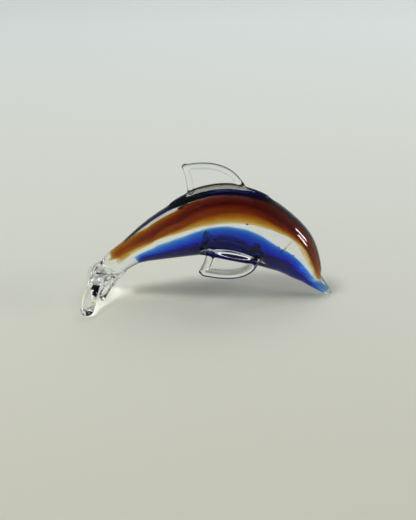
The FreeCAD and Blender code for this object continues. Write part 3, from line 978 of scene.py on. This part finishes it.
def coloured_layer(name, material, slot, node, colour, first, last, nose_taper, thickness, fullness, seed):
    """A crescent of coloured glass from arc length first to last, over the back or the belly.

    thickness gives its greatest thickness at a share of the body's length. It thins out to
    both edges, more gently for a greater fullness, and over nose_taper to its nose end.
    """
    arcs = np.linspace(first, last, LAYER_ROWS)
    turns = np.linspace(-1, 1, LAYER_COLUMNS)
    thin_side = np.clip(turns if colour == AMBER else -turns, 0, 1)
    crown = (1 - turns ** 2) ** fullness
    ragged = 1.6 * np.sin(turns * 7 + 1.0) + 0.9 * np.sin(turns * 17) if colour == AMBER else 0 * turns
    outer, inner = [], []
    for arc, wave in zip(arcs, edge_waver(seed, arcs, turns)):
        share, lift, half_height, half_width = inner_oval(arc)
        angle = layer_angles(colour, share, turns, wave)
        close = min(1.0, (arc - first) / TAIL_TAPER + 0.05, (last - arc) / nose_taper + 0.02)
        most = min(thickness(share), MOST_THICKNESS * half_width) * math.sqrt(close)
        deep = most * (1 - THINNER[colour] * thin_side) * crown + LEAST_THICKNESS
        shift = ragged * max(0.0, 1 - (arc - first) / RAGGED_REACH)
        for rows, depth in ((outer, 0), (inner, deep)):
            up = lift + (half_height - depth) * np.cos(angle)
            rows.append(spine.off(arc + shift, up, (half_width - depth) * np.sin(angle)))
    piece = slab(name, np.array(outer), np.array(inner), [material])
    smooth_faces(piece)
    finish_piece(piece, slot, node)


def amber_thickness(share):
    return 7.8 * min(1.0, 0.45 + 1.2 * share, 1.9 - 1.3 * share)


def blue_thickness(share):
    return 8.4 * min(1.0, 0.3 + 1.5 * share)


coloured_layer(
    "amber_back", amber_glass, "amber_glass", "amber_overlay", AMBER, 0.6, spine.arc_at(0.938),
    nose_taper=3.0, thickness=amber_thickness, fullness=0.75, seed=5)
coloured_layer(
    "blue_belly", blue_glass, "blue_glass", "blue_overlay", BLUE, spine.arc_at(0.08), spine.arc_at(0.99),
    nose_taper=16.0, thickness=blue_thickness, fullness=0.5, seed=9)


# ================================================================== small marks in the glass
# Each: (along, degrees round from the back, out from the spine, half sizes).
BUBBLES = (
    (0.653, -36, 0.86, (0.45, 0.30, 0.30)), (0.688, -39, 0.86, (0.55, 0.35, 0.35)),
    (0.701, -38, 0.85, (0.40, 0.28, 0.28)), (0.702, -30, 0.87, (0.50, 0.30, 0.30)),
    (0.743, -84, 0.80, (0.35, 0.30, 0.60)), (0.768, -80, 0.79, (0.35, 0.30, 0.55)),
    (0.302, -64, 0.79, (0.40, 0.25, 0.25)), (0.150, -100, 0.70, (0.35, 0.25, 0.25)),
    (0.094, 5, 0.72, (0.60, 0.35, 0.35)), (0.045, -40, 0.55, (0.50, 0.30, 0.30)),
)
SPECKS = (
    (0.588, -69, 0.88, (0.62, 0.35, 0.35)), (0.533, -61, 0.88, (0.28, 0.25, 0.25)),
    (0.809, -82, 0.84, (0.30, 0.25, 0.35)),
)
MARK_RINGS = 10
THREAD_SAMPLES = 15
THREAD_BACK, THREAD_RIGHT, THREAD_UP = 2.7, 5.0, 4.3     # off its CAD solid's low corner
THREAD_TRIM = 0.6                                        # off that solid's length and height
THREAD_BEND = 1.3


def small_ball(name, centre, half_sizes, material):
    """A small oval ball, from rings of points between two poles."""
    around = 2 * MARK_RINGS
    points = [(0, 0, 1.0)]
    for i in range(1, MARK_RINGS):
        tilt = math.pi * i / MARK_RINGS
        for j in range(around):
            turn = math.pi * j / MARK_RINGS
            points.append((math.sin(tilt) * math.cos(turn), math.sin(tilt) * math.sin(turn), math.cos(tilt)))
    points.append((0, 0, -1.0))
    faces = []
    for j in range(around):
        beside = (j + 1) % around
        faces.append((0, 1 + j, 1 + beside))
        for i in range(MARK_RINGS - 2):
            a, b = 1 + i * around + j, 1 + i * around + beside
            faces.append((a, a + around, b + around, b))
        last = 1 + (MARK_RINGS - 2) * around
        faces.append((len(points) - 1, last + beside, last + j))
    ball = make_object(name, (np.array(points) * half_sizes + centre) * MM, faces, [material])
    smooth_faces(ball)
    finish_piece(ball, "clear_glass")


def tube(name, path, radii, material, around=12):
    """A closed tube along a path, tapered by its radii."""
    tangent = unit(np.gradient(path, axis=0))
    side = unit(np.cross(tangent, (0, 1.0, 0.05)))
    up = np.cross(side, tangent)
    turns = np.arange(around) * 2 * math.pi / around
    circles = np.cos(turns)[:, None] * side[:, None] + np.sin(turns)[:, None] * up[:, None]
    points = (path[:, None] + radii[:, None, None] * circles).reshape(-1, 3)
    faces = []
    for i in range(len(path) - 1):
        faces += ring_faces(i * around, around, flip=True)
    faces.append(tuple(range(around))[::-1])
    faces.append(tuple(range(len(points) - around, len(points))))
    piece = make_object(name, points * MM, faces, [material])
    smooth_faces(piece)
    return piece


def make_marks(name, marks, material):
    for i, (share, degrees, reach, half_sizes) in enumerate(marks):
        centre = spine.point(spine.arc_at(share), degrees, reach)
        small_ball(f"{name}_{i}", centre, half_sizes, material)


def make_stray_thread():
    """A thread of amber, moved off its CAD place by as much as the glass bends the light."""
    low, high = (np.array(corner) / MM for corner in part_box("amber_thread"))
    run = np.linspace(0, 1, THREAD_SAMPLES)
    x = low[0] - THREAD_BACK + (high[0] - low[0] - THREAD_TRIM) * run
    z = low[2] + THREAD_UP + (high[2] - low[2] - THREAD_TRIM) * run ** THREAD_BEND
    path = np.column_stack((x, np.full(THREAD_SAMPLES, -THREAD_RIGHT), z))
    radii = 0.12 + 0.2 * np.sin(np.pi * (0.1 + 0.8 * run))
    dark_amber = coloured_material("dark_amber_glass", DARK_AMBER_ABSORBS, (0.9, 0.8, 0.6))
    finish_piece(tube("stray_thread", path, radii, dark_amber), "amber_glass", "amber_thread")


make_marks("bubble", BUBBLES, air_material())
make_marks("speck", SPECKS, speck_material())
make_stray_thread()


# ================================================================== floor, light and camera
# From here on, lengths are metres.
FLOOR_RADII = (0.1, 0.3, 1.0, 2.4)
FLOOR_SIDES = 96
FLOOR_DROP = 0.0001
# Colours of the studio round the object by height, from straight down, -1, to straight up, 1.
SKY_BEHIND = (
    (0.0, (0.62, 0.65, 0.64)), (0.45, (0.60, 0.63, 0.64)), (0.72, (0.48, 0.50, 0.51)),
    (0.88, (0.10, 0.11, 0.12)),
)
SKY_IN_FRONT = (
    (0.0, (0.48, 0.49, 0.47)), (0.22, (0.36, 0.36, 0.36)), (0.5, (0.12, 0.12, 0.12)),
    (0.93, (0.08, 0.09, 0.10)),
)
SKY_BLEND = 0.35         # to each side of the object's plane, from one of these to the other
WINDOW_PANES = ((0.965, 0.02, 0.26), (0.975, -0.19, 0.16))
CAMERA_AZIMUTH, CAMERA_ELEVATION = -0.6, 25.0
CAMERA_DISTANCE = 0.6
CAMERA_TARGET = (0.0, 0.0, 0.022)
CAMERA_LENS = 74.19


def floor_material():
    """Pale cloth, lighter and a little cooler towards the back as painted light."""
    material, nodes, link = new_material("floor")
    cloth = nodes.new("ShaderNodeBsdfPrincipled")
    cloth.inputs["Roughness"].default_value = 0.85
    cloth.inputs["Specular IOR Level"].default_value = 0.2
    place = nodes.new("ShaderNodeTexCoord")
    parts = nodes.new("ShaderNodeSeparateXYZ")
    # Painted light: the cloth's colour brightens from front to back.
    painted_light_to_back = nodes.new("ShaderNodeMapRange")
    painted_light_to_back.inputs["From Min"].default_value = -0.25
    painted_light_to_back.inputs["From Max"].default_value = 0.7
    link(place.outputs["Object"], parts.inputs["Vector"])
    link(parts.outputs["Y"], painted_light_to_back.inputs["Value"])
    colour = mix_colours(nodes, link, painted_light_to_back.outputs["Result"], (0.66, 0.66, 0.57), (0.94, 0.98, 0.97))
    link(colour, cloth.inputs["Base Color"])
    show(nodes, link, cloth.outputs["BSDF"])
    return material


def make_floor():
    points = [(0.0, 0.0, 0.0)]
    for radius in FLOOR_RADII:
        for j in range(FLOOR_SIDES):
            turn = 2 * math.pi * j / FLOOR_SIDES
            points.append((radius * math.cos(turn), radius * math.sin(turn), 0.0))
    faces = [(0, 1 + j, 1 + (j + 1) % FLOOR_SIDES) for j in range(FLOOR_SIDES)]
    for i in range(len(FLOOR_RADII) - 1):
        faces += ring_faces(1 + i * FLOOR_SIDES, FLOOR_SIDES)
    floor = make_object("floor", points, faces, [floor_material()])
    floor.location.z = -FLOOR_DROP


def height_ramp(nodes, link, height, stops):
    """Colours by height, each stop's own, from -1 to 1."""
    ramp = nodes.new("ShaderNodeValToRGB")
    rise = nodes.new("ShaderNodeMapRange")
    rise.inputs["From Min"].default_value = -1.0
    link(height, rise.inputs["Value"])
    link(rise.outputs["Result"], ramp.inputs["Fac"])
    elements = ramp.color_ramp.elements
    elements.remove(elements[1])
    for i, (level, colour) in enumerate(stops):
        element = elements[0] if i == 0 else elements.new(0.5)
        element.position = (level + 1) / 2
        element.color = (*colour, 1)
    return ramp.outputs["Color"]


def make_world():
    world = bpy.data.worlds.new("studio")
    bpy.context.scene.world = world
    world.use_nodes = True
    nodes, link = world.node_tree.nodes, world.node_tree.links.new
    nodes.clear()
    place = nodes.new("ShaderNodeTexCoord")
    parts = nodes.new("ShaderNodeSeparateXYZ")
    link(place.outputs["Generated"], parts.inputs["Vector"])
    behind = height_ramp(nodes, link, parts.outputs["Z"], SKY_BEHIND)
    in_front = height_ramp(nodes, link, parts.outputs["Z"], SKY_IN_FRONT)
    depth = nodes.new("ShaderNodeMapRange")
    depth.inputs["From Min"].default_value = -SKY_BLEND
    depth.inputs["From Max"].default_value = SKY_BLEND
    depth.interpolation_type = "SMOOTHSTEP"
    link(parts.outputs["Y"], depth.inputs["Value"])
    sky = nodes.new("ShaderNodeBackground")
    link(mix_colours(nodes, link, depth.outputs["Result"], in_front, behind), sky.inputs["Color"])
    out = nodes.new("ShaderNodeOutputWorld")
    link(sky.outputs["Background"], out.inputs["Surface"])


def soft_light(name, direction, distance, size, power, colour=(1, 1, 1), target=(0, 0, 0.03)):
    """An area light, off in a direction from its target and turned to it."""
    light = bpy.data.lights.new(name, "AREA")
    light.shape = "RECTANGLE"
    light.size, light.size_y = size
    light.energy = power
    light.color = colour
    lamp = link_object(name, light)
    direction = Vector(direction).normalized()
    lamp.location = Vector(target) + direction * distance
    lamp.rotation_euler = direction.to_track_quat("Z", "Y").to_euler()
    lamp.visible_camera = False
    lamp.visible_glossy = False
    return lamp


def make_lights():
    soft_light("key", (-0.42, -0.26, 0.85), 1.6, (0.5, 0.5), 11.0, (1.0, 0.985, 0.95))
    soft_light("fill", (0.3, 0.45, 0.84), 1.8, (1.6, 1.6), 5.0)
    for i, direction in enumerate(WINDOW_PANES):
        pane = soft_light(f"window_{i}", direction, 1.5, (0.17, 0.4), 3.5, (1.0, 0.95, 0.97))
        pane.visible_glossy = True
        pane.visible_transmission = False
    soft_light("backdrop", (0.1, -0.1, 1.0), 1.1, (1.2, 1.0), 1.5, target=(0.6, 1.0, 0.0))


def make_camera():
    camera = bpy.data.cameras.new("camera")
    camera.lens = CAMERA_LENS
    camera.sensor_width = 36.0
    camera.sensor_fit = "AUTO"
    camera.clip_start, camera.clip_end = 0.01, 50.0
    rig = link_object("camera", camera)
    turn, rise = math.radians(CAMERA_AZIMUTH), math.radians(CAMERA_ELEVATION)
    back = Vector((math.sin(turn) * math.cos(rise), -math.cos(turn) * math.cos(rise), math.sin(rise)))
    rig.location = Vector(CAMERA_TARGET) + back * CAMERA_DISTANCE
    rig.rotation_euler = back.to_track_quat("Z", "Y").to_euler()
    bpy.context.scene.camera = rig


def set_view():
    scene = bpy.context.scene
    scene.view_settings.view_transform = "Standard"
    scene.view_settings.gamma = 0.85
    scene.view_settings.exposure = 0.12
    scene.cycles.sample_clamp_indirect = 40.0
    scene.cycles.max_bounces = 24
    scene.cycles.transmission_bounces = 20
    scene.cycles.glossy_bounces = 6
    scene.cycles.transparent_max_bounces = 24


make_floor()
make_world()
make_lights()
make_camera()
set_view()
